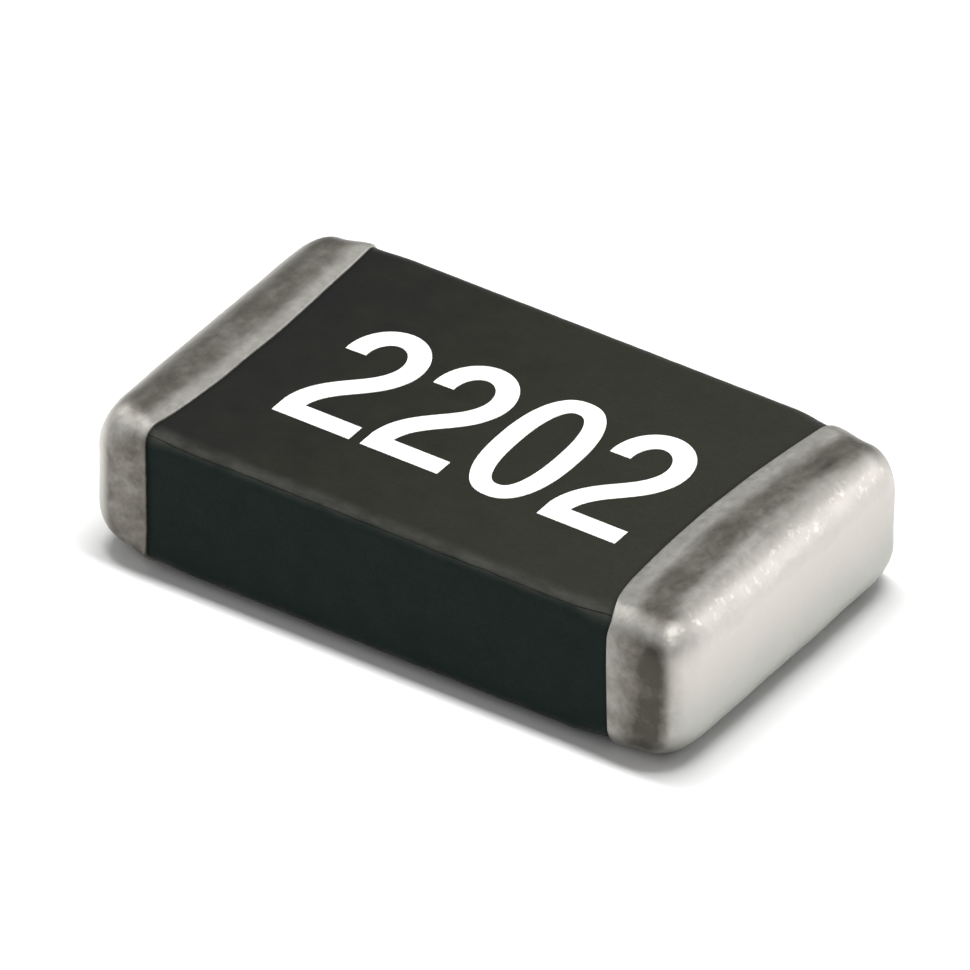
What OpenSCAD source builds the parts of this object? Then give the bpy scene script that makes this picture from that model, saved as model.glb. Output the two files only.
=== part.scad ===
// Thick-film chip resistor with dipped five-sided end caps, in millimetres.
// The origin is under the middle of the chip, on the plane that its two caps rest on.
// X runs along the chip, from the left cap to the right one, and Z points up to the marked face.

/* [Case] */
// Length over both caps
case_length = 2.10; // [1.80:0.01:2.40]
// Width over the caps
case_width = 1.22; // [1.10:0.01:1.40]
// Height over the caps
case_height = 0.51; // [0.40:0.005:0.65]
// Rounding that tumbling leaves on the bare block's ends, under the caps
tumble_radius = 0.105; // [0.07:0.005:0.12]
// Rounding of the body's long edges between the caps
edge_radius = 0.055; // [0.03:0.005:0.065]

/* [End caps] */
// Left cap's reach from its end, at the chip's long edges
left_band = 0.20; // [0.16:0.005:0.30]
// Right cap's reach from its end, at the chip's long edges
right_band = 0.265; // [0.16:0.005:0.30]
// How much further the left cap reaches along the middle of the wide faces
left_bulge = 0.035; // [0.01:0.005:0.06]
// How much further the right cap reaches along the middle of the wide faces
right_bulge = 0.055; // [0.01:0.005:0.06]
// How much further each cap reaches along the middle of the narrow sides
side_bulge = 0.012; // [0.004:0.002:0.03]
// Thickness of the dipped and fired silver
silver_t = 0.005; // [0.004:0.001:0.010]
// Thickness of the plated nickel
nickel_t = 0.002; // [0.002:0.001:0.004]
// Thickness of the plated tin
tin_t = 0.003; // [0.002:0.001:0.006]

/* [Resistor] */
// Width of the printed electrodes
electrode_width = 0.94; // [0.84:0.01:1.00]
// Thickness of the printed electrodes
electrode_t = 0.008; // [0.005:0.001:0.014]
// Length of the resistive film, overlaps included
film_length = 1.30; // [1.10:0.01:1.40]
// Width of the resistive film
film_width = 0.80; // [0.60:0.01:0.82]
// Thickness of the resistive film
film_t = 0.007; // [0.005:0.001:0.012]
// How far the film runs onto each electrode
film_overlap = 0.12; // [0.06:0.01:0.20]
// Width of the laser's trim cut
kerf_width = 0.04; // [0.02:0.005:0.06]
// How far the trim cut goes in from the film's front edge
trim_depth = 0.42; // [0.20:0.01:0.50]
// How far the trim cut then runs along the film
trim_run = 0.24; // [0.10:0.01:0.40]

/* [Covers] */
// Thickness of the glass above the film's overlaps
glass_t = 0.004; // [0.003:0.001:0.008]
// How far the glass reaches past the film all round
glass_margin = 0.02; // [0.01:0.005:0.04]
// Thickness of the black overcoat above the glass
overcoat_t = 0.006; // [0.004:0.001:0.012]
// How far the overcoat runs under the caps
overcoat_tuck = 0.05; // [0.02:0.01:0.08]

/* [Hidden] */
$fn = 48;

left = -1;
right = 1;
print_color = "#b9b5ab";
silver_color = "#cfcbc0";
nickel_color = "#a8a59b";
tin_color = "#aca89f";

cap_t = silver_t + nickel_t + tin_t;
block_size = [case_length, case_width, case_height] - 2 * cap_t * [1, 1, 1];
middle_z = case_height / 2;
glass_top = electrode_t + film_t + glass_t;
cover_t = glass_top + overcoat_t;
ceramic_top = case_height - cap_t - cover_t;
film_inner = film_length / 2 - film_overlap;
// Reach of a cutting shape past what it cuts
past = 0.2;

function band(side) = side == left ? left_band : right_band;
function bulge(side) = side == left ? left_bulge : right_bulge;
// Where the bare dip's edge crosses the chip's long edges, as a distance from the chip's middle
function dip_edge(side) = case_length / 2 - band(side) + nickel_t + tin_t;

// Turns what is drawn for the right end into its counterpart at the given end
module at_end(side) {
    mirror([side == left ? 1 : 0, 0, 0])
        children();
}

// Flat outline with round corners, centred
module rounded_rectangle(size, radius) {
    square([size.x - 2 * radius, size.y], center = true);
    square([size.x, size.y - 2 * radius], center = true);
    for (x = [-1, 1], y = [-1, 1])
        translate([x * (size.x / 2 - radius), y * (size.y / 2 - radius)])
            circle(radius);
}

// What a round corner takes off the corner of a cube, towards +X, +Y and +Z
module corner_waste(radius) {
    difference() {
        cube(radius + past);
        // The ball's seam is turned away from the corner
        rotate([0, 0, 225])
            sphere(radius);
    }
}

// Block with every edge and corner rounded by one radius, centred
module rounded_block(size, radius) {
    difference() {
        intersection() {
            linear_extrude(size.z, center = true)
                rounded_rectangle([size.x, size.y], radius);
            rotate([90, 0, 0])
                linear_extrude(size.y, center = true)
                    rounded_rectangle([size.x, size.z], radius);
            rotate([90, 0, 90])
                linear_extrude(size.x, center = true)
                    rounded_rectangle([size.y, size.z], radius);
        }
        for (x = [0, 1], y = [0, 1], z = [0, 1])
            mirror([x, 0, 0])
                mirror([0, y, 0])
                    mirror([0, 0, z])
                        translate(size / 2 - radius * [1, 1, 1])
                            corner_waste(radius);
    }
}

// The bare block, ceramic and covers together, grown all round by a layer's thickness
module grown_block(growth) {
    translate([0, 0, middle_z])
        rounded_block(block_size + 2 * growth * [1, 1, 1], tumble_radius + growth);
}

// Flat shape beyond an arc that crosses [reach, 0] and falls back by its rise at half the span
module beyond_arc(reach, span, rise) {
    arc_radius = (pow(span / 2, 2) + pow(rise, 2)) / (2 * rise);
    intersection() {
        translate([reach + arc_radius, 0])
            circle(arc_radius, $fn = 360);
        translate([reach, -span / 2 - past])
            square([case_length, span + 2 * past]);
    }
}

// Space at the right end that a dip wets: its edge creeps further along the middle of every face
module dip_space(edge, wide_bulge) {
    translate([0, 0, -past])
        linear_extrude(case_height + 2 * past)
            beyond_arc(edge - wide_bulge, case_width, wide_bulge);
    translate([0, case_width / 2 + past, middle_z])
        rotate([90, 0, 0])
            linear_extrude(case_width + 2 * past)
                beyond_arc(edge - side_bulge, case_height, side_bulge);
}

// The bare block with tighter long edges from one cap's edge to the other's
module bare_body() {
    grown_block(0);
    difference() {
        translate([-case_length / 2, 0, middle_z])
            rotate([90, 0, 90])
                linear_extrude(case_length)
                    rounded_rectangle([block_size.y, block_size.z], edge_radius);
        for (side = [left, right])
            at_end(side)
                dip_space(case_length / 2 - band(side), bulge(side));
    }
}

// A cap up to one of its layers, not yet hollow. Plating also grows past the edge of the dip
module cap_solid(side, growth) {
    plating = growth - silver_t;
    at_end(side)
        intersection() {
            grown_block(growth);
            dip_space(dip_edge(side) - plating, bulge(side));
        }
}

// What one plated layer adds to a cap between two growths
module plated_shell(side, from, to) {
    difference() {
        cap_solid(side, to);
        cap_solid(side, from);
        grown_block(0);
    }
}

// Dipped silver, which also fills the step from the covers' end down to the electrode print
module dipped_shell(side) {
    difference() {
        cap_solid(side, silver_t);
        ceramic_substrate();
        electrode_print(side);
        overcoat_slab();
    }
}

// Layer on the ceramic's top face between two stations along X
module print_on_ceramic(from, to, width, thickness) {
    translate([from, -width / 2, ceramic_top])
        cube([to - from, width, thickness]);
}

// Electrode print, from under the film out to the block's rounded end
module electrode_print(side) {
    at_end(side)
        intersection() {
            grown_block(0);
            print_on_ceramic(film_inner, case_length / 2, electrode_width, electrode_t);
        }
}

// Film print before trimming: it steps down from the electrodes to the ceramic
module untrimmed_film() {
    right_outline = [
        [film_inner, 0],
        [film_inner, electrode_t],
        [film_length / 2, electrode_t],
        [film_length / 2, electrode_t + film_t],
        [film_inner - film_t, electrode_t + film_t],
        [film_inner - film_t - electrode_t, film_t]
    ];
    left_outline = [for (i = [len(right_outline) - 1:-1:0]) [-right_outline[i].x, right_outline[i].y]];
    translate([0, film_width / 2, ceramic_top])
        rotate([90, 0, 0])
            linear_extrude(film_width)
                polygon(concat(right_outline, left_outline));
}

// L-shaped laser cut through glass and film, in from the front edge and then along the film
module trim_cut() {
    cut_start = -film_width / 2 - glass_margin - past;
    cut_end = -film_width / 2 + trim_depth;
    translate([-trim_run / 2, cut_start, ceramic_top])
        cube([kerf_width, cut_end - cut_start, cover_t]);
    translate([-trim_run / 2, cut_end - kerf_width, ceramic_top])
        cube([trim_run, kerf_width, cover_t]);
}

// Glass print, with the room for what lies under it still filled
module glass_slab() {
    half_length = film_length / 2 + glass_margin;
    width = film_width + 2 * glass_margin;
    print_on_ceramic(-half_length, half_length, width, glass_top);
}

// Overcoat, with the room for what lies under it still filled
module overcoat_slab() {
    left_end = -dip_edge(left) - overcoat_tuck;
    right_end = dip_edge(right) + overcoat_tuck;
    intersection() {
        bare_body();
        print_on_ceramic(left_end, right_end, case_width, cover_t + past);
    }
}

module ceramic_substrate() {
    color("#242a28")
        difference() {
            bare_body();
            print_on_ceramic(-case_length, case_length, case_width, cover_t + past);
        }
}

module left_top_electrode() {
    color(print_color)
        electrode_print(left);
}

module right_top_electrode() {
    color(print_color)
        electrode_print(right);
}

module resistive_film() {
    color("#3d3a38")
        difference() {
            untrimmed_film();
            trim_cut();
        }
}

module glass_coat() {
    color("#5c7a66")
        difference() {
            glass_slab();
            electrode_print(left);
            electrode_print(right);
            untrimmed_film();
            trim_cut();
        }
}

// The overcoat fills the trim cut down to the ceramic
module overcoat() {
    color("#33342c")
        difference() {
            overcoat_slab();
            electrode_print(left);
            electrode_print(right);
            resistive_film();
            glass_coat();
        }
}

module left_end_electrode() {
    color(silver_color)
        dipped_shell(left);
}

module right_end_electrode() {
    color(silver_color)
        dipped_shell(right);
}

module left_nickel_barrier() {
    color(nickel_color)
        plated_shell(left, silver_t, silver_t + nickel_t);
}

module right_nickel_barrier() {
    color(nickel_color)
        plated_shell(right, silver_t, silver_t + nickel_t);
}

module left_tin_cap() {
    color(tin_color)
        plated_shell(left, silver_t + nickel_t, cap_t);
}

module right_tin_cap() {
    color(tin_color)
        plated_shell(right, silver_t + nickel_t, cap_t);
}

ceramic_substrate();
left_top_electrode();
right_top_electrode();
resistive_film();
glass_coat();
overcoat();
left_end_electrode();
right_end_electrode();
left_nickel_barrier();
right_nickel_barrier();
left_tin_cap();
right_tin_cap();
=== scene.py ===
"""A thick-film chip resistor: plated end caps, black overcoat, dark ceramic block, printed value code."""
import math

import bpy
import numpy as np
from mathutils import Matrix, Vector, noise


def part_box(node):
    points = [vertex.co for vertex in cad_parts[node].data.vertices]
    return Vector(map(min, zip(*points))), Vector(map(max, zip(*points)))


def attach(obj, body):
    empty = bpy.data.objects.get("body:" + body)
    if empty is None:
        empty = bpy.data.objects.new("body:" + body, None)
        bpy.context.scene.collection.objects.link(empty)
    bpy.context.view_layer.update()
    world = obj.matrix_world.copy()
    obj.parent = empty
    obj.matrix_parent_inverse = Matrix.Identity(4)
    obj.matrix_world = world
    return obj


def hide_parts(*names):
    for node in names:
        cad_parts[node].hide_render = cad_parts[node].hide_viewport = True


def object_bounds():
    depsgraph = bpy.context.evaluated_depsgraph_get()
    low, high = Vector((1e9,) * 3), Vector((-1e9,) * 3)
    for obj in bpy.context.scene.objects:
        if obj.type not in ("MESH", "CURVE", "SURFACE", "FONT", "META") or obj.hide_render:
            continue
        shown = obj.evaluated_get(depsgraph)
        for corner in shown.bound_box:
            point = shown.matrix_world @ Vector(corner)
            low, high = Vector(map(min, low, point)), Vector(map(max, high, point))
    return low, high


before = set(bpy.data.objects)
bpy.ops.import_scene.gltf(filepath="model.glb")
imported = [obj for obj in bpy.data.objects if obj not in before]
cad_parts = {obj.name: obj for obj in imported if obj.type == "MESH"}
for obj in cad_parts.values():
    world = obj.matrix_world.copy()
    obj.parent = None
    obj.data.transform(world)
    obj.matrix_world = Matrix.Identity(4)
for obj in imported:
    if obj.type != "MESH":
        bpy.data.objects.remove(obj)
cad_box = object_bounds()

MM = 0.001

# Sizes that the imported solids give, in metres
ceramic_low, ceramic_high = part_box("ceramic_substrate")
BLOCK_BOTTOM = ceramic_low[2]
BLOCK_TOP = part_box("overcoat")[1][2]
BLOCK_MIDDLE = (BLOCK_BOTTOM + BLOCK_TOP) / 2
BLOCK_HALF = np.array([ceramic_high[0], ceramic_high[1], (BLOCK_TOP - BLOCK_BOTTOM) / 2])
CERAMIC_TOP = ceramic_high[2]
CAP_END = cad_box[1][0]
BLOCK_LOW = cad_box[0][2]

# Roundings of the bare block: along the body's edges, at the caps' edges, under the caps, and round the ends
EDGE_RADIUS = 0.055 * MM
LIP_EDGE_RADIUS = {"left": 0.070 * MM, "right": 0.086 * MM}
CAP_EDGE_RADIUS = 0.124 * MM
END_RADIUS = {"top": 0.105 * MM, "bottom": 0.150 * MM}
END_SIDE_RADIUS = {"left": 0.090 * MM, "right": 0.108 * MM}
ROUND_COUNT = 16
WIDTH_COUNT = 56
HEIGHT_COUNT = 16

# Edges of the caps: they creep along the middle of each face and waver a little. Each is also drawn towards
# its end as a whole, askew across the chip, and on the front, over a range given as a share of the half width
WIDE_BULGE = {"left": 0.035 * MM, "right": 0.055 * MM}
SIDE_BULGE = 0.012 * MM
LIP_SHIFT = {"left": -0.008 * MM, "right": 0.018 * MM}
LIP_SKEW = {"left": 0.0, "right": 0.020 * MM}
LIP_SIDE_SHIFT = {"left": 0.012 * MM, "right": 0.019 * MM}
LIP_SIDE_RANGE = (0.65, 1.0)
WAVER = 0.008 * MM
WAVER_LENGTH = 0.16 * MM
CAP_SEED = {"left": 31, "right": 41}

# The caps' metal from that edge on: a round lip, a slow crown, lumps, and a domed end
LIP_HEIGHT = 0.009 * MM
LIP_RUN = 0.006 * MM
CROWN_HEIGHT = 0.005 * MM
CROWN_RUN = 0.10 * MM
LUMP_HEIGHT = 0.0025 * MM
LUMP_LENGTH = 0.14 * MM
DOME_HEIGHT = 0.010 * MM
SKIN_DEPTH = 0.002 * MM
# Share of the metal's thickness at which each layer's outside lies
LAYER_SHARE = {"tin_cap": 1.0, "nickel_barrier": 0.75, "end_electrode": 0.5}
# Rows of points: close together at the lip, then along the wall, round the bend and over the end
LIP_STEPS = LIP_RUN * np.array([0, 0.03, 0.12, 0.27, 0.5, 0.75, 1, 1.6, 2.4, 3.5])
WALL_COUNT = 16
BEND_COUNT = 14
RING_COUNT = 12

# How early round the bend the end's paler metal starts, painted lighter than the walls as the end is lit, and
# how much earlier or later at the sides
LIT_END = {"left": 0.74, "right": 1.0}
LIT_END_SIDES = {"left": 1.8, "right": 0.60}
# A painted dark reflection on the tin: a belt along the wide faces, from where to where it starts and clears
# again in millimetres from the lip, how dark it is and how far it clears
BELT_START = {"left": (0.015, 0.080), "right": (0.040, 0.105)}
BELT_END = {"left": (0.115, 0.185), "right": (0.145, 0.210)}
BELT_DARK = {"left": 1.0, "right": 1.08}
BELT_CLEARS = {"left": 0.60, "right": 0.82}
# How dark the sides are painted, as shade, at the lip and further in, and in a strip beside the end painted
# as a dark reflection; runs in millimetres
SIDE_SHADE = {"left": (0.94, 0.82), "right": (0.38, 0.55)}
SIDE_STRIP = {"left": 0.0, "right": 1.02}
SIDE_SHADE_RUN = (0.02, 0.08)
STRIP_START = (0.0, 0.05)
STRIP_END = (0.09, 0.25)
# From which sideways part of the normal a place stops being on a wide face, and is on a side
LEAVES_WIDE = (0.25, 0.8)
REACHES_SIDE = (0.70, 0.98)

# Printed code
INK_THICKNESS = 0.003 * MM
DIGIT_HEIGHT = 0.54 * MM
DIGIT_WIDTH = 0.275 * MM
DIGIT_PITCH = 0.314 * MM
CODE_MIDDLE = (0.0085 * MM, -0.032 * MM)
CODE = "2202"
# Shapes of its two kinds of numeral: rises are shares of the digit's height, and angles are in degrees
OVAL_POWER = 2.35
ZERO_RISE = 1.03
ZERO_STROKE = (0.070 * MM, 0.065 * MM)
ZERO_COUNT = 72
TWO_STROKE = 0.072 * MM
TWO_FOOT = 0.070 * MM
TWO_RISE = 1.02
TWO_BOWL_INSET = 0.004 * MM
TWO_BOWL_HEIGHT = 0.118 * MM
TWO_BOWL_START = 185
TWO_BOWL_TURN = 215
TWO_BOWL_COUNT = 30
TWO_SWEEP_COUNT = 24
TWO_SWEEP_START = 0.11 * MM
TWO_SWEEP_END = Vector((0.02, 0.13)) * MM


# Meshes

SEED_STEP = (17.3, 5.7, 11.9)
WELD_STEP = 1e-6 * MM


def add_mesh(name, vertices, faces, smooth=True):
    """Adds a mesh object from arrays of points in metres and of faces."""
    mesh = bpy.data.meshes.new(name)
    mesh.from_pydata([tuple(v) for v in vertices], [], [tuple(f) for f in faces])
    mesh.polygons.foreach_set("use_smooth", [smooth] * len(mesh.polygons))
    mesh.update()
    piece = bpy.data.objects.new(name, mesh)
    bpy.context.scene.collection.objects.link(piece)
    return piece


def add_attribute(piece, name, values):
    """Stores one number per vertex for the piece's material to read."""
    layer = piece.data.attributes.new(name, "FLOAT", "POINT")
    layer.data.foreach_set("value", np.asarray(values, dtype=np.float32))


def noise_at(points, length, seed):
    """Smooth noise from -1 to 1 at each point, with features of about the given length."""
    offset = Vector([seed * step for step in SEED_STEP])
    return np.array([noise.noise(Vector(p) / length + offset) for p in points])


def weld(keys, faces):
    """Joins points with equal keys: gives the first point of each, and the faces over those."""
    _, first, index = np.unique(keys, axis=0, return_index=True, return_inverse=True)
    index = index.reshape(-1)
    welded = []
    for face in faces:
        corners = list(dict.fromkeys(int(index[v]) for v in face))
        if len(corners) > 2:
            welded.append(corners)
    return first, welded


def grid_faces(rows, columns, closed=False):
    """Quads over a grid of points that is stored row by row, closed round each row or open."""
    faces = []
    for i in range(rows - 1):
        for j in range(columns if closed else columns - 1):
            a = i * columns + j
            b = i * columns + (j + 1) % columns
            faces.append((a, b, b + columns, a + columns))
    return faces


def close_shell(outer, inner, faces):
    """Joins an outer sheet to an inner one round its open edges, into one closed mesh."""
    count = len(outer)
    edges = {(a, b) for face in faces for a, b in zip(face, list(face[1:]) + [face[0]])}
    rim = sorted((a, b) for a, b in edges if (b, a) not in edges)
    back = [[v + count for v in reversed(face)] for face in faces]
    walls = [[b, a, a + count, b + count] for a, b in rim]
    return np.concatenate([outer, inner]), [list(f) for f in faces] + back + walls


def section(radius):
    """Points and normals round the block's rounded cross-section, from the top of its far side on."""
    inner = BLOCK_HALF[1:] - radius
    quarter = np.radians(np.linspace(0, 90, ROUND_COUNT + 1))
    points = []
    normals = []
    for turn in range(4):
        angles = quarter + turn * math.pi / 2
        round_normals = np.stack([np.cos(angles), np.sin(angles)], axis=1)
        corner = inner * np.sign(np.array([math.cos(angles.mean()), math.sin(angles.mean())]))
        points.append(corner + radius * round_normals)
        normals.append(round_normals)
        flat_count = WIDTH_COUNT if turn % 2 == 0 else HEIGHT_COUNT
        next_corner = corner * ((-1, 1) if turn % 2 == 0 else (1, -1))
        share = (np.arange(1, flat_count) / flat_count)[:, None]
        points.append(corner + share * (next_corner - corner) + radius * round_normals[-1])
        normals.append(np.tile(round_normals[-1], (flat_count - 1, 1)))
    return np.concatenate(points), np.concatenate(normals)


def smooth_step(low, high, value):
    """Rises from 0 to 1 between two values."""
    t = np.clip((value - low) / (high - low), 0, 1)
    return t * t * (3 - 2 * t)


# End caps

def lip_place(side, y, z):
    """Distance from the chip's middle to the edge of a cap, at a place round the block."""
    low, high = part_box(f"{side}_tin_cap")
    half_width = (high[1] - low[1]) / 2
    half_height = (high[2] - low[2]) / 2
    band = high[0] - low[0] - WIDE_BULGE[side]
    wide = WIDE_BULGE[side] * (1 - (y / half_width) ** 2)
    narrow = SIDE_BULGE * (1 - (z / half_height) ** 2)
    round_the_block = np.stack([np.zeros(len(y)), y, z], axis=1)
    waver = WAVER * (0.5 + 0.5 * noise_at(round_the_block, WAVER_LENGTH, CAP_SEED[side]))
    drawn = LIP_SHIFT[side] + LIP_SKEW[side] * y / half_width
    drawn = drawn + LIP_SIDE_SHIFT[side] * smooth_step(*LIP_SIDE_RANGE, -y / half_width)
    return CAP_END - band - np.maximum(wide, narrow) - waver + drawn


def cap_growth(distance):
    """Thickness of the cap's metal at a distance from its edge."""
    lip = LIP_HEIGHT * np.sqrt(1 - (1 - np.minimum(distance / LIP_RUN, 1)) ** 2)
    crown = CROWN_HEIGHT * (1 - (1 - np.minimum(distance / CROWN_RUN, 1)) ** 2)
    return lip + crown


def end_radius(side, normals):
    """Rounding between a wall and the end face, by which way the wall faces."""
    up = np.clip(normals[:, 1], 0, 1) ** 2
    down = np.clip(-normals[:, 1], 0, 1) ** 2
    return END_RADIUS["top"] * up + END_RADIUS["bottom"] * down + END_SIDE_RADIUS[side] * normals[:, 0] ** 2


def end_rows(outline, radius, bend_count, ring_count):
    """Rows of points round the bend and over the end face, with the turn of each row from 0 to 1."""
    rows = []
    turns = []
    for step in range(bend_count):
        turn = (step + 1) / bend_count
        inset = radius * (1 - math.cos(turn * math.pi / 2))
        scale = 1 - inset[:, None] / BLOCK_HALF[1:]
        x = BLOCK_HALF[0] - radius * (1 - math.sin(turn * math.pi / 2))
        rows.append(np.column_stack([x, outline * scale]))
        turns.append(np.full(len(outline), turn))
    for ring in range(ring_count):
        shrink = 1 - (ring + 1) / ring_count
        rows.append(rows[bend_count - 1] * (1, shrink, shrink))
        turns.append(np.ones(len(outline)))
    return rows, turns


def cap_painted_dark(side, distance, to_end, normals):
    """How dark the tin is painted, as a dark reflection in belts on the wide faces and as shade on the sides,
    by the distances to the lip and to the end in millimetres.
    """
    on_wide = 1 - smooth_step(*LEAVES_WIDE, np.abs(normals[:, 1]))
    on_side = smooth_step(*REACHES_SIDE, np.abs(normals[:, 1]))
    clearing = BELT_CLEARS[side] * smooth_step(*BELT_END[side], distance)
    belt = BELT_DARK[side] * smooth_step(*BELT_START[side], distance) * (1 - clearing)
    at_lip, further_in = SIDE_SHADE[side]
    side_shade = at_lip + (further_in - at_lip) * smooth_step(*SIDE_SHADE_RUN, distance)
    strip = smooth_step(*STRIP_START, to_end) * (1 - smooth_step(*STRIP_END, to_end))
    return belt * on_wide + (side_shade + SIDE_STRIP[side] * strip) * on_side


def make_cap(side, layer):
    """The skin of one of a cap's layers, drawn for the right end and mirrored for the left one."""
    outline, flat_normals = section(CAP_EDGE_RADIUS)
    radius = end_radius(side, flat_normals)
    lip_x = lip_place(side, *outline.T)
    room = BLOCK_HALF[0] - radius - lip_x
    rows = []
    turns = []
    distances = []
    for step in range(len(LIP_STEPS) + WALL_COUNT):
        near = LIP_STEPS[min(step, len(LIP_STEPS) - 1)]
        far = max(step - len(LIP_STEPS) + 1, 0) / WALL_COUNT
        distance = near + far * (room - LIP_STEPS[-1])
        eased = float(smooth_step(0, room.mean(), distance.mean()))
        row_outline, _ = section(LIP_EDGE_RADIUS[side] + (CAP_EDGE_RADIUS - LIP_EDGE_RADIUS[side]) * eased)
        rows.append(np.column_stack([lip_x + distance, row_outline]))
        turns.append(np.zeros(len(outline)))
        distances.append(distance)
    over_end, end_turns = end_rows(outline, radius, BEND_COUNT, RING_COUNT)
    rows += over_end
    turns += end_turns
    distances += [room + radius * turn * math.pi / 2 for turn in end_turns]
    surface = np.concatenate(rows)
    turn = np.concatenate(turns)
    distance = np.concatenate(distances)
    tilt = np.sin(turn * math.pi / 2)
    flat = np.tile(flat_normals, (len(rows), 1)) * np.cos(turn * math.pi / 2)[:, None]
    normals = np.column_stack([tilt, flat])

    # The end is domed, and the whole skin is a little lumpy
    across = 1 - (surface[:, 1:] / BLOCK_HALF[1:]) ** 2
    dome = DOME_HEIGHT * across[:, 0] * across[:, 1] * tilt ** 2
    lumps = LUMP_HEIGHT * noise_at(surface, LUMP_LENGTH, CAP_SEED[side] + 1)
    growth = cap_growth(distance) + dome + lumps * np.minimum(distance / CROWN_RUN, 1)
    outer = surface + normals * (growth * LAYER_SHARE[layer])[:, None]
    lowest = BLOCK_BOTTOM + (BLOCK_LOW - BLOCK_BOTTOM) * LAYER_SHARE[layer]
    outer[:, 2] = np.maximum(outer[:, 2], lowest - BLOCK_MIDDLE)
    # How dark the tin is painted, as shade and dark reflection
    painted_dark = cap_painted_dark(side, distance / MM, (CAP_END - surface[:, 0]) / MM, normals)

    # The last row is one point
    faces = grid_faces(len(rows), len(outline), closed=True)
    keys = np.arange(len(outer))
    keys[-len(outline):] = keys[-1]
    first, faces = weld(keys[:, None], faces)
    vertices, faces = close_shell(outer[first], (outer - normals * SKIN_DEPTH)[first], faces)
    vertices[:, 2] += BLOCK_MIDDLE
    if side == "left":
        vertices[:, 0] *= -1
        faces = [face[::-1] for face in faces]
    piece = add_mesh(f"{side}_{layer}_skin", vertices, faces)
    # The end is painted paler than the walls, as lit, from part way round the bend
    later = (1 - LIT_END_SIDES[side]) * np.tile(flat_normals[:, 0] ** 2, len(rows)) * (1 - turn ** 2)
    lit_end = turn * LIT_END[side] * (1 - later)
    add_attribute(piece, "end_turn", np.tile(lit_end[first], 2))
    add_attribute(piece, "painted_dark", np.tile(painted_dark[first], 2))
    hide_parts(f"{side}_{layer}")
    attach(piece, "root")
    return piece


# Body

BODY_COUNT = 120
BODY_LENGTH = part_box("right_tin_cap")[0][0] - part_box("left_tin_cap")[1][0]
BODY_RELIEF = 0.0007 * MM
BODY_RELIEF_LENGTH = 0.07 * MM
CERAMIC_SEED = 11
HIDDEN_BEND_COUNT = 10
HIDDEN_RING_COUNT = 8
# The long edges widen beside the caps over this length
EDGE_EASE = 0.14 * MM
# The black is painted lighter, as a highlight, where an edge slopes by about so many degrees, and by another
# factor on the low edges, as light from the floor
HIGHLIGHT_SLOPE = 45.0
HIGHLIGHT_SPREAD = 24.0
LOW_EDGE_LIGHT = 1.3


def body_radius(share):
    """Rounding of the body's long edges at a share of the way between the caps."""
    gap = min(share, 1 - share) * BODY_LENGTH
    at_lip = LIP_EDGE_RADIUS["left" if share < 0.5 else "right"]
    return at_lip + (EDGE_RADIUS - at_lip) * float(smooth_step(0, EDGE_EASE, gap))


def edge_light_share(across, up):
    """How far the black is painted lighter, as a highlight on its rounded edges and as light from the floor
    on its low edges, by which way a place faces.
    """
    slope = np.degrees(np.arctan2(np.abs(up), np.abs(across)))
    edge_light = np.exp(-((slope - HIGHLIGHT_SLOPE) / HIGHLIGHT_SPREAD) ** 2)
    return edge_light * np.where(up > 0, 1.0, LOW_EDGE_LIGHT)


def between_lips(share, y, z):
    """Places along the chip at a share of the way from the left cap's edge to the right one's."""
    left = -lip_place("left", y, z)
    right = lip_place("right", y, z)
    return left + share * (right - left)


def make_ceramic():
    """The block: tight edges between the caps, wide ones under them, and flat where the overcoat lies."""
    wide, normals = section(CAP_EDGE_RADIUS)
    left_end, _ = end_rows(wide, end_radius("left", normals), HIDDEN_BEND_COUNT, HIDDEN_RING_COUNT)
    right_end, _ = end_rows(wide, end_radius("right", normals), HIDDEN_BEND_COUNT, HIDDEN_RING_COUNT)
    rows = [row * (-1, 1, 1) for row in reversed(left_end)]
    gaps = [0.0] * len(rows)
    for step in range(BODY_COUNT):
        share = step / (BODY_COUNT - 1)
        outline, _ = section(body_radius(share))
        points = np.column_stack([between_lips(share, *outline.T), outline])
        relief = BODY_RELIEF * noise_at(points, BODY_RELIEF_LENGTH, CERAMIC_SEED)
        rows.append(points + np.column_stack([np.zeros(len(outline)), normals * relief[:, None]]))
        gaps.append(min(share, 1 - share) * BODY_LENGTH / MM)
    rows += right_end
    gaps += [0.0] * len(right_end)
    surface = np.concatenate(rows)
    surface[:, 2] = np.minimum(surface[:, 2] + BLOCK_MIDDLE, CERAMIC_TOP)
    faces = grid_faces(len(rows), len(wide), closed=True)
    keys = np.arange(len(surface))
    keys[:len(wide)] = 0
    keys[-len(wide):] = keys[-1]
    first, faces = weld(keys[:, None], faces)
    piece = add_mesh("ceramic_skin", surface[first], faces)
    # Share of painted edge highlight and floor light, and distance from the caps for the painted shade there
    add_attribute(piece, "edge_light", np.tile(edge_light_share(*normals.T), len(rows))[first])
    add_attribute(piece, "lip_gap", np.repeat(gaps, len(wide))[first])
    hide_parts("ceramic_substrate")
    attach(piece, "root")
    return piece


COAT_TUCK = 0.03 * MM
COAT_RISE = 0.0012 * MM
COAT_DEPTH = 0.005 * MM
COAT_ROLL_COUNT = 14
BORDER_SWAY = 0.05
BORDER_SWAY_LENGTH = 0.07 * MM
BORDER_SEED = 3
COAT_SEED = 21


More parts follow.
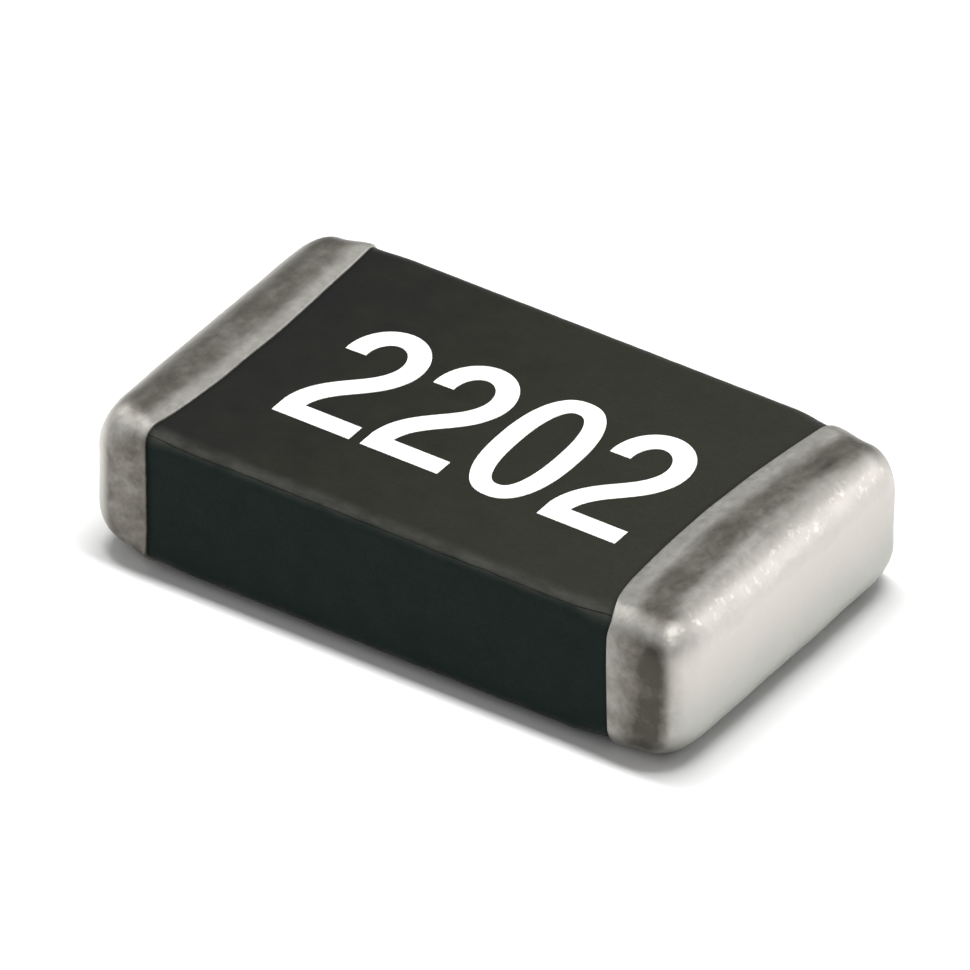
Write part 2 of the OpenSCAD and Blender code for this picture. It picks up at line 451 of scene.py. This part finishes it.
def coat_section(radius):
    """Across the chip from its far side to its near one: places, slopes, and closeness to the border."""
    low = math.asin((CERAMIC_TOP - BLOCK_TOP + radius) / radius)
    roll = np.linspace(low, math.pi / 2, COAT_ROLL_COUNT + 1)
    inner = BLOCK_HALF[1] - radius
    flat = np.linspace(inner, -inner, WIDTH_COUNT + 1)[1:-1]
    centre = np.concatenate([np.full(len(roll), inner), flat, np.full(len(roll), -inner)])
    slope = np.concatenate([roll, np.full(len(flat), math.pi / 2), math.pi - roll[::-1]])
    count = np.arange(len(centre))
    border = np.clip(1 - np.minimum(count, count[::-1]) / COAT_ROLL_COUNT * 2, 0, 1)
    return centre, slope, border


def make_overcoat():
    """The black layer: flat on top, rolled over the long edges to an uneven border, tucked under the caps."""
    surface = []
    normals = []
    gaps = []
    rows = BODY_COUNT + 2
    for row in range(rows):
        share = min(max((row - 1) / (BODY_COUNT - 1), 0), 1)
        radius = body_radius(share)
        centre, slope, border = coat_section(radius)
        beyond = COAT_TUCK * {0: -1, rows - 1: 1}.get(row, 0)
        along = np.full(len(centre), share * 2 * CAP_END)
        ragged = noise_at(np.stack([along, centre, border], axis=1), BORDER_SWAY_LENGTH, BORDER_SEED)
        slope = slope + BORDER_SWAY * border * ragged * np.sign(centre)
        normal = np.stack([np.zeros(len(centre)), np.cos(slope), np.sin(slope)], axis=1)
        y = centre + radius * normal[:, 1]
        z = BLOCK_HALF[2] - radius + radius * normal[:, 2]
        x = between_lips(share, y, z) + beyond
        surface.append(np.stack([x, y, z + BLOCK_MIDDLE], axis=1))
        normals.append(normal)
        gaps.append(np.full(len(centre), min(share, 1 - share) * BODY_LENGTH / MM))
    columns = len(surface[0])
    surface = np.concatenate(surface)
    normals = np.concatenate(normals)
    relief = COAT_RISE + BODY_RELIEF * noise_at(surface, BODY_RELIEF_LENGTH, COAT_SEED)
    outer = surface + normals * relief[:, None]
    vertices, faces = close_shell(outer, outer - normals * COAT_DEPTH, grid_faces(rows, columns))
    piece = add_mesh("overcoat_skin", vertices, faces)
    # Share of painted edge highlight and floor light, and distance from the caps for the painted shade there
    add_attribute(piece, "edge_light", np.tile(edge_light_share(normals[:, 1], normals[:, 2]), 2))
    add_attribute(piece, "lip_gap", np.tile(np.concatenate(gaps), 2))
    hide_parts("overcoat")
    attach(piece, "root")
    return piece


# Printed code

def oval(width, height, count):
    """Points round an oval that is a little squarer than an ellipse."""
    points = []
    for i in range(count):
        c = math.cos(2 * math.pi * i / count)
        s = math.sin(2 * math.pi * i / count)
        points.append((
            width / 2 * math.copysign(abs(c) ** (2 / OVAL_POWER), c),
            height / 2 * math.copysign(abs(s) ** (2 / OVAL_POWER), s),
        ))
    return points


def stroke_quads(pairs):
    """Quads along a stroke, from pairs of points on its two sides."""
    return [[a, c, d, b] for (a, b), (c, d) in zip(pairs, pairs[1:])]


def digit_zero():
    """Quads round a ring."""
    height = DIGIT_HEIGHT * ZERO_RISE
    outer = oval(DIGIT_WIDTH, height, ZERO_COUNT)
    inner = oval(DIGIT_WIDTH - 2 * ZERO_STROKE[0], height - 2 * ZERO_STROKE[1], ZERO_COUNT)
    pairs = list(zip(outer, inner))
    return stroke_quads(pairs + pairs[:1])


def digit_two():
    """Quads along a hook over the top, a sweep down and a foot."""
    half_width = DIGIT_WIDTH / 2
    base = -DIGIT_HEIGHT / 2
    foot_top = base + TWO_FOOT
    top = DIGIT_HEIGHT / 2 * TWO_RISE
    bowl_x = half_width - TWO_STROKE / 2 - TWO_BOWL_INSET
    centre_y = top - TWO_STROKE / 2 - TWO_BOWL_HEIGHT
    path = []
    for i in range(TWO_BOWL_COUNT + 1):
        angle = math.radians(TWO_BOWL_START - TWO_BOWL_TURN * i / TWO_BOWL_COUNT)
        path.append(Vector((bowl_x * math.cos(angle), centre_y + TWO_BOWL_HEIGHT * math.sin(angle))))
    # The sweep is one cubic curve from the bowl to the foot's left end
    start = path[-1]
    aim = (path[-1] - path[-2]).normalized()
    end = Vector((-half_width + TWO_STROKE / 2, foot_top))
    handle_a = start + aim * TWO_SWEEP_START
    handle_b = end + TWO_SWEEP_END
    for i in range(1, TWO_SWEEP_COUNT + 1):
        t = i / TWO_SWEEP_COUNT
        s = 1 - t
        path.append(s ** 3 * start + 3 * s * s * t * handle_a + 3 * s * t * t * handle_b + t ** 3 * end)
    pairs = []
    for i, point in enumerate(path):
        ahead = (path[min(i + 1, len(path) - 1)] - path[max(i - 1, 0)]).normalized()
        across = Vector((-ahead.y, ahead.x)) * TWO_STROKE / 2
        pairs.append((tuple(point + across), tuple(point - across)))
    # The foot: its left end stands under the stroke, and the rest runs out to the right
    right_of_stroke = (end.x + TWO_STROKE / 2, foot_top)
    pairs[-1] = (right_of_stroke, (-half_width, foot_top))
    return stroke_quads(pairs) + [
        [(-half_width, base), (right_of_stroke[0], base), right_of_stroke, (-half_width, foot_top)],
        [(right_of_stroke[0], base), (half_width, base), (half_width, foot_top), right_of_stroke],
    ]


def make_digit(name, character, middle_x, middle_y):
    """One numeral as a thin layer of ink that stands on the overcoat."""
    quads = digit_zero() if character == "0" else digit_two()
    points = []
    faces = []
    for quad in quads:
        area = sum(p[0] * q[1] - q[0] * p[1] for p, q in zip(quad, quad[1:] + quad[:1]))
        ordered = quad if area > 0 else quad[::-1]
        faces.append(list(range(len(points), len(points) + 4)))
        points += [(x + middle_x, y + middle_y, BLOCK_TOP + INK_THICKNESS) for x, y in ordered]
    points = np.array(points)
    first, faces = weld(np.round(points / WELD_STEP), faces)
    points = points[first]
    under = points - np.array([0, 0, 2 * INK_THICKNESS])
    vertices, faces = close_shell(points, under, faces)
    piece = add_mesh(name, vertices, faces, smooth=False)
    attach(piece, "root")
    return piece


# Materials

class Shader:
    """A node material with short calls for the nodes used here."""

    def __init__(self, name):
        self.material = bpy.data.materials.new(name)
        self.material.use_nodes = True
        self.tree = self.material.node_tree
        self.surface = self.tree.nodes["Principled BSDF"]
        self.place = self.add("ShaderNodeTexCoord").outputs["Object"]

    def add(self, kind, **settings):
        node = self.tree.nodes.new(kind)
        for key, value in settings.items():
            setattr(node, key, value)
        return node

    def link(self, source, target):
        self.tree.links.new(source, target)

    def attribute(self, name):
        """One of the numbers stored on the piece's vertices."""
        return self.add("ShaderNodeAttribute", attribute_name=name).outputs["Fac"]

    def along(self, axis):
        """Place along the axis X, Y or Z, in millimetres."""
        node = self.add("ShaderNodeSeparateXYZ")
        self.link(self.place, node.inputs["Vector"])
        return self.math("DIVIDE", node.outputs[axis], MM)

    def noise(self, length, detail=3.0, roughness=0.55, stretch=(1, 1, 1)):
        """Noise from 0 to 1 with features of about the given length in metres."""
        mapping = self.add("ShaderNodeMapping")
        mapping.inputs["Scale"].default_value = stretch
        self.link(self.place, mapping.inputs["Vector"])
        texture = self.add("ShaderNodeTexNoise")
        texture.inputs["Scale"].default_value = 1 / length
        texture.inputs["Detail"].default_value = detail
        texture.inputs["Roughness"].default_value = roughness
        self.link(mapping.outputs["Vector"], texture.inputs["Vector"])
        return texture.outputs["Fac"]

    def ramp(self, value, *stops):
        """Colour ramp over (position, colour) stops."""
        node = self.add("ShaderNodeValToRGB")
        points = node.color_ramp.elements
        while len(points) < len(stops):
            points.new(0.5)
        for point, (position, colour) in zip(points, stops):
            point.position = position
            point.color = (*colour, 1)
        self.link(value, node.inputs["Fac"])
        return node.outputs["Color"]

    def remap(self, value, low, high, to_low, to_high):
        node = self.add("ShaderNodeMapRange")
        for key, number in (("From Min", low), ("From Max", high), ("To Min", to_low), ("To Max", to_high)):
            node.inputs[key].default_value = number
        self.link(value, node.inputs["Value"])
        return node.outputs["Result"]

    def mix(self, factor, first, second, blend="MIX"):
        node = self.add("ShaderNodeMix", data_type="RGBA", blend_type=blend)
        for key, value in ((0, factor), (6, first), (7, second)):
            if isinstance(value, bpy.types.NodeSocket):
                self.link(value, node.inputs[key])
            else:
                node.inputs[key].default_value = value if key == 0 else (*value, 1)
        return node.outputs[2]

    def math(self, operation, first, second):
        node = self.add("ShaderNodeMath", operation=operation)
        for socket, value in zip(node.inputs, (first, second)):
            if isinstance(value, bpy.types.NodeSocket):
                self.link(value, socket)
            else:
                socket.default_value = value
        return node.outputs[0]

    def bump(self, height, distance, under=None):
        node = self.add("ShaderNodeBump")
        node.inputs["Distance"].default_value = distance
        self.link(height, node.inputs["Height"])
        if under is not None:
            self.link(under, node.inputs["Normal"])
        return node.outputs["Normal"]

    def set(self, **values):
        """Sets or links the surface's own inputs, named with _ for a space."""
        for key, value in values.items():
            socket = self.surface.inputs[key.replace("_", " ")]
            if isinstance(value, bpy.types.NodeSocket):
                self.link(value, socket)
            else:
                socket.default_value = (*value, 1) if isinstance(value, tuple) else value
        return self.material


def tin_material():
    """Matte plated tin: a pale lip, mottled belts painted dark as a dark reflection, sides painted dark as
    shade, and smooth ends painted paler as lit, paler upwards.
    """
    s = Shader("matte_tin")
    blotch = s.noise(0.085 * MM, detail=4, roughness=0.6, stretch=(1, 0.55, 1))
    speck = s.noise(0.028 * MM, detail=3, roughness=0.6)
    pale = s.ramp(speck, (0.3, (0.33, 0.32, 0.295)), (0.7, (0.43, 0.42, 0.385)))
    dark = s.ramp(speck, (0.3, (0.125, 0.117, 0.100)), (0.7, (0.215, 0.203, 0.178)))
    uneven = s.math("ADD", s.remap(blotch, 0.3, 0.7, -0.30, 0.30), s.remap(speck, 0.3, 0.7, -0.10, 0.10))
    # Painted shade on the sides and painted dark reflection in the belts, mottled by noise
    patchy = s.math("ADD", s.attribute("painted_dark"), uneven)
    walls = s.mix(s.remap(patchy, 0.1, 0.9, 0, 1), pale, dark)
    # Darkest where the painted darkening is strongest
    walls = s.mix(s.remap(patchy, 0.95, 1.45, 0, 1), walls, (0.075, 0.070, 0.058))
    # Painted light and shade: the end face paler than the walls, darker low down where it is shaded, paler
    # upwards
    height = s.math("ADD", s.along("Z"), s.remap(blotch, 0.3, 0.7, -0.03, 0.03))
    ends = s.ramp(
        height, (0.06, (0.395, 0.404, 0.368)), (0.20, (0.480, 0.480, 0.446)), (0.30, (0.575, 0.548, 0.514)),
        (0.40, (0.630, 0.598, 0.562)), (0.47, (0.590, 0.560, 0.526)),
    )
    turned = s.math("ADD", s.attribute("end_turn"), s.remap(blotch, 0.3, 0.7, -0.05, 0.05))
    colour = s.mix(s.remap(turned, 0.20, 0.50, 0, 1), walls, ends)
    # Painted glints: bright flecks along the top of the end's shoulder, where it catches the light
    glint_place = s.math("MULTIPLY", s.remap(turned, 0.25, 0.45, 0, 1), s.remap(s.along("Z"), 0.43, 0.47, 0, 1))
    glints = s.remap(s.noise(0.032 * MM, detail=2), 0.57, 0.72, 0, 0.55)
    colour = s.mix(s.math("MULTIPLY", glint_place, glints), colour, (0.93, 0.91, 0.86))
    rough = s.remap(blotch, 0.3, 0.7, 0.40, 0.52)
    dimples = s.bump(s.noise(0.08 * MM, detail=2), 0.004 * MM)
    normal = s.bump(s.noise(0.025 * MM, detail=3), 0.0014 * MM, under=dimples)
    return s.set(Base_Color=colour, Metallic=1.0, Roughness=rough, Normal=normal)


def plated_material(name, dark, light, roughness):
    """Plain metal for the layers under the tin."""
    s = Shader(name)
    patches = s.noise(0.04 * MM, detail=4)
    colour = s.ramp(patches, (0.3, dark), (0.7, light))
    rough = s.remap(patches, 0.3, 0.7, roughness - 0.06, roughness + 0.06)
    normal = s.bump(s.noise(0.015 * MM), 0.0008 * MM)
    return s.set(Base_Color=colour, Metallic=1.0, Roughness=rough, Normal=normal)


def paint_edge_light_and_cap_shade(s, colour, light):
    """A black painted lighter in dashes along its rounded edges, as a highlight and as light from the floor,
    and painted darkest against the caps, as shade.
    """
    dashes = s.noise(0.05 * MM, detail=4, roughness=0.6, stretch=(0.5, 1, 1))
    # Painted highlight in dashes along the rounded edges
    lit_edge = s.math("MULTIPLY", s.attribute("edge_light"), s.remap(dashes, 0.3, 0.7, 0.35, 1.20))
    colour = s.mix(lit_edge, colour, light)
    # Painted shade where the black meets the caps
    return s.mix(s.remap(s.attribute("lip_gap"), 0.0, 0.02, 0.6, 0.0), colour, (0.004, 0.004, 0.004))


def overcoat_material():
    """Matte black epoxy, warm, finely grained, and painted a little lighter towards one end as a sheen."""
    s = Shader("black_overcoat")
    cloud = s.noise(0.11 * MM, detail=4)
    grain = s.noise(0.011 * MM, detail=3, roughness=0.6)
    # Painted sheen: lighter towards the +X end, with random cloudy tone on top
    sheen_and_tone = s.math("ADD", s.remap(s.along("X"), -0.85, 0.80, 0, 1), s.remap(cloud, 0.3, 0.7, -0.14, 0.14))
    colour = s.ramp(
        sheen_and_tone, (0.0, (0.0068, 0.0069, 0.0066)), (0.5, (0.0150, 0.0158, 0.0096)),
        (1.0, (0.0198, 0.0206, 0.0138)),
    )
    speckle = s.ramp(grain, (0.3, (0.80, 0.80, 0.80)), (0.7, (1.2, 1.2, 1.2)))
    colour = s.mix(1.0, colour, speckle, "MULTIPLY")
    colour = paint_edge_light_and_cap_shade(s, colour, (0.054, 0.055, 0.048))
    rough = s.remap(grain, 0.3, 0.7, 0.52, 0.68)
    normal = s.bump(grain, 0.0012 * MM)
    return s.set(Base_Color=colour, Roughness=rough, Normal=normal, Specular_IOR_Level=0.12)


def ceramic_material():
    """Dark fired ceramic, cooler than the overcoat, with a fine sawn grain."""
    s = Shader("dark_ceramic")
    cloud = s.noise(0.09 * MM, detail=5)
    colour = s.ramp(cloud, (0.3, (0.0044, 0.0118, 0.0100)), (0.7, (0.0066, 0.0153, 0.0132)))
    colour = paint_edge_light_and_cap_shade(s, colour, (0.045, 0.047, 0.042))
    grain = s.noise(0.010 * MM, detail=3)
    rough = s.remap(grain, 0.3, 0.7, 0.5, 0.66)
    normal = s.bump(grain, 0.0010 * MM)
    return s.set(Base_Color=colour, Roughness=rough, Normal=normal, Specular_IOR_Level=0.07)


def covered_material(name, dark, light):
    """Fired film or glass under the overcoat."""
    s = Shader(name)
    colour = s.ramp(s.noise(0.03 * MM, detail=4), (0.3, dark), (0.7, light))
    return s.set(Base_Color=colour, Roughness=0.3)


def ink_material():
    """Matte white ink, laid a little unevenly."""
    s = Shader("white_ink")
    patches = s.noise(0.03 * MM, detail=4)
    colour = s.ramp(patches, (0.25, (0.90, 0.90, 0.88)), (0.75, (0.97, 0.97, 0.955)))
    normal = s.bump(s.noise(0.008 * MM), 0.0005 * MM)
    return s.set(Base_Color=colour, Roughness=0.6, Normal=normal)


def floor_material():
    """Plain white sweep."""
    s = Shader("pale_floor")
    colour = s.ramp(s.noise(4 * MM), (0.3, (0.90, 0.90, 0.90)), (0.7, (0.92, 0.92, 0.92)))
    return s.set(Base_Color=colour, Roughness=0.9, Specular_IOR_Level=0.1)


def dress(piece, material):
    """Gives a piece one material."""
    piece.data.materials.clear()
    piece.data.materials.append(material)


# Stage

CAMERA_AZIMUTH = 34.04
CAMERA_ELEVATION = 35.56
CAMERA_DISTANCE = 63.3 * MM
# Size of the photograph's frame in pixels, of a millimetre at the chip, and where the chip's middle lies
FRAME_PX = 970
PX_PER_MM = 338.5
CHIP_MIDDLE_PX = (497.4, 494.0)
SENSOR_MM = 36.0
LAMP_DISTANCE = 60 * MM
FLOOR_HALF = 150 * MM
STUDIO_GREY = 0.5
STUDIO_STRENGTH = 0.72


def direction(azimuth, elevation):
    """Unit vector towards a viewer at that azimuth and elevation."""
    a = math.radians(azimuth)
    e = math.radians(elevation)
    return Vector((math.sin(a) * math.cos(e), -math.cos(a) * math.cos(e), math.sin(e)))


def looking(place, towards):
    """Matrix of a camera or lamp at a place, upright, that faces a point."""
    away = (place - towards).normalized()
    side = Vector((0, 0, 1)).cross(away).normalized()
    up = away.cross(side)
    return Matrix.Translation(place) @ Matrix((side, up, away)).transposed().to_4x4()


def add_camera():
    data = bpy.data.cameras.new("camera")
    data.sensor_width = SENSOR_MM
    data.lens = SENSOR_MM / FRAME_PX * PX_PER_MM * CAMERA_DISTANCE / MM
    data.clip_start = 1 * MM
    data.clip_end = 2.0
    middle = Vector((0, 0, (cad_box[0][2] + cad_box[1][2]) / 2))
    back = direction(CAMERA_AZIMUTH, CAMERA_ELEVATION)
    side = Vector((0, 0, 1)).cross(back).normalized()
    up = back.cross(side)
    right_px = CHIP_MIDDLE_PX[0] - FRAME_PX / 2
    down_px = CHIP_MIDDLE_PX[1] - FRAME_PX / 2
    target = middle - side * (right_px / PX_PER_MM * MM) + up * (down_px / PX_PER_MM * MM)
    camera = bpy.data.objects.new("camera", data)
    camera.matrix_world = looking(target + back * CAMERA_DISTANCE, target)
    bpy.context.scene.collection.objects.link(camera)
    bpy.context.scene.camera = camera


def add_softbox(name, azimuth, elevation, size, radiance, on_floor=True, in_metal=True):
    """A flat lamp that faces the chip; radiance 1 is the picture's white."""
    data = bpy.data.lights.new(name, "AREA")
    data.shape = "RECTANGLE"
    data.size, data.size_y = size
    data.energy = radiance * math.pi * size[0] * size[1]
    lamp = bpy.data.objects.new(name, data)
    lamp.visible_diffuse = on_floor
    lamp.visible_glossy = in_metal
    lamp.matrix_world = looking(direction(azimuth, elevation) * LAMP_DISTANCE, Vector((0, 0, 0)))
    bpy.context.scene.collection.objects.link(lamp)


def add_stage():
    corners = [(x * FLOOR_HALF, y * FLOOR_HALF, 0) for x, y in ((-1, -1), (1, -1), (1, 1), (-1, 1))]
    floor = add_mesh("floor", corners, [(0, 1, 2, 3)], smooth=False)
    dress(floor, floor_material())
    # The overhead lamp lights the floor; the other boxes are there for the metal to reflect
    add_softbox("overhead_box", 180, 84.9, (44 * MM, 6 * MM), 47, in_metal=False)
    add_softbox("corner_box", 60, 56, (36 * MM, 40 * MM), 4.0, on_floor=False)
    add_softbox("front_left_box", 293, 58, (36 * MM, 36 * MM), 2.0, on_floor=False)
    add_softbox("front_low_box", 324, 24, (36 * MM, 50 * MM), 0.8, on_floor=False)
    add_softbox("left_box", 262, 30, (30 * MM, 30 * MM), 2.9, on_floor=False)
    add_softbox("back_box", 190, 42, (50 * MM, 40 * MM), 1.15, on_floor=False)
    add_softbox("right_back_box", 138, 22, (50 * MM, 44 * MM), 1.5, on_floor=False)
    world = bpy.data.worlds.new("studio")
    world.use_nodes = True
    background = world.node_tree.nodes["Background"]
    background.inputs["Color"].default_value = (STUDIO_GREY, STUDIO_GREY, STUDIO_GREY, 1)
    background.inputs["Strength"].default_value = STUDIO_STRENGTH
    bpy.context.scene.world = world
    bpy.context.scene.view_settings.view_transform = "Standard"


# Assembly

silver = plated_material("fired_silver", (0.62, 0.60, 0.55), (0.74, 0.72, 0.67), 0.5)
nickel = plated_material("plated_nickel", (0.50, 0.48, 0.44), (0.60, 0.58, 0.53), 0.35)
layers = {"tin_cap": tin_material(), "nickel_barrier": nickel, "end_electrode": silver}
for cap_side in ("left", "right"):
    for layer, material in layers.items():
        dress(make_cap(cap_side, layer), material)
    dress(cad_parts[f"{cap_side}_top_electrode"], silver)
dress(make_ceramic(), ceramic_material())
dress(make_overcoat(), overcoat_material())
ink = ink_material()
for place, character in enumerate(CODE):
    x = CODE_MIDDLE[0] + (place - (len(CODE) - 1) / 2) * DIGIT_PITCH
    dress(make_digit(f"code_digit_{place + 1}", character, x, CODE_MIDDLE[1]), ink)

glaze = covered_material("resistor_glaze", (0.03, 0.03, 0.03), (0.06, 0.055, 0.05))
glass = covered_material("green_glass", (0.10, 0.17, 0.13), (0.16, 0.24, 0.19))
dress(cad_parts["resistive_film"], glaze)
dress(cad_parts["glass_coat"], glass)

add_camera()
add_stage()
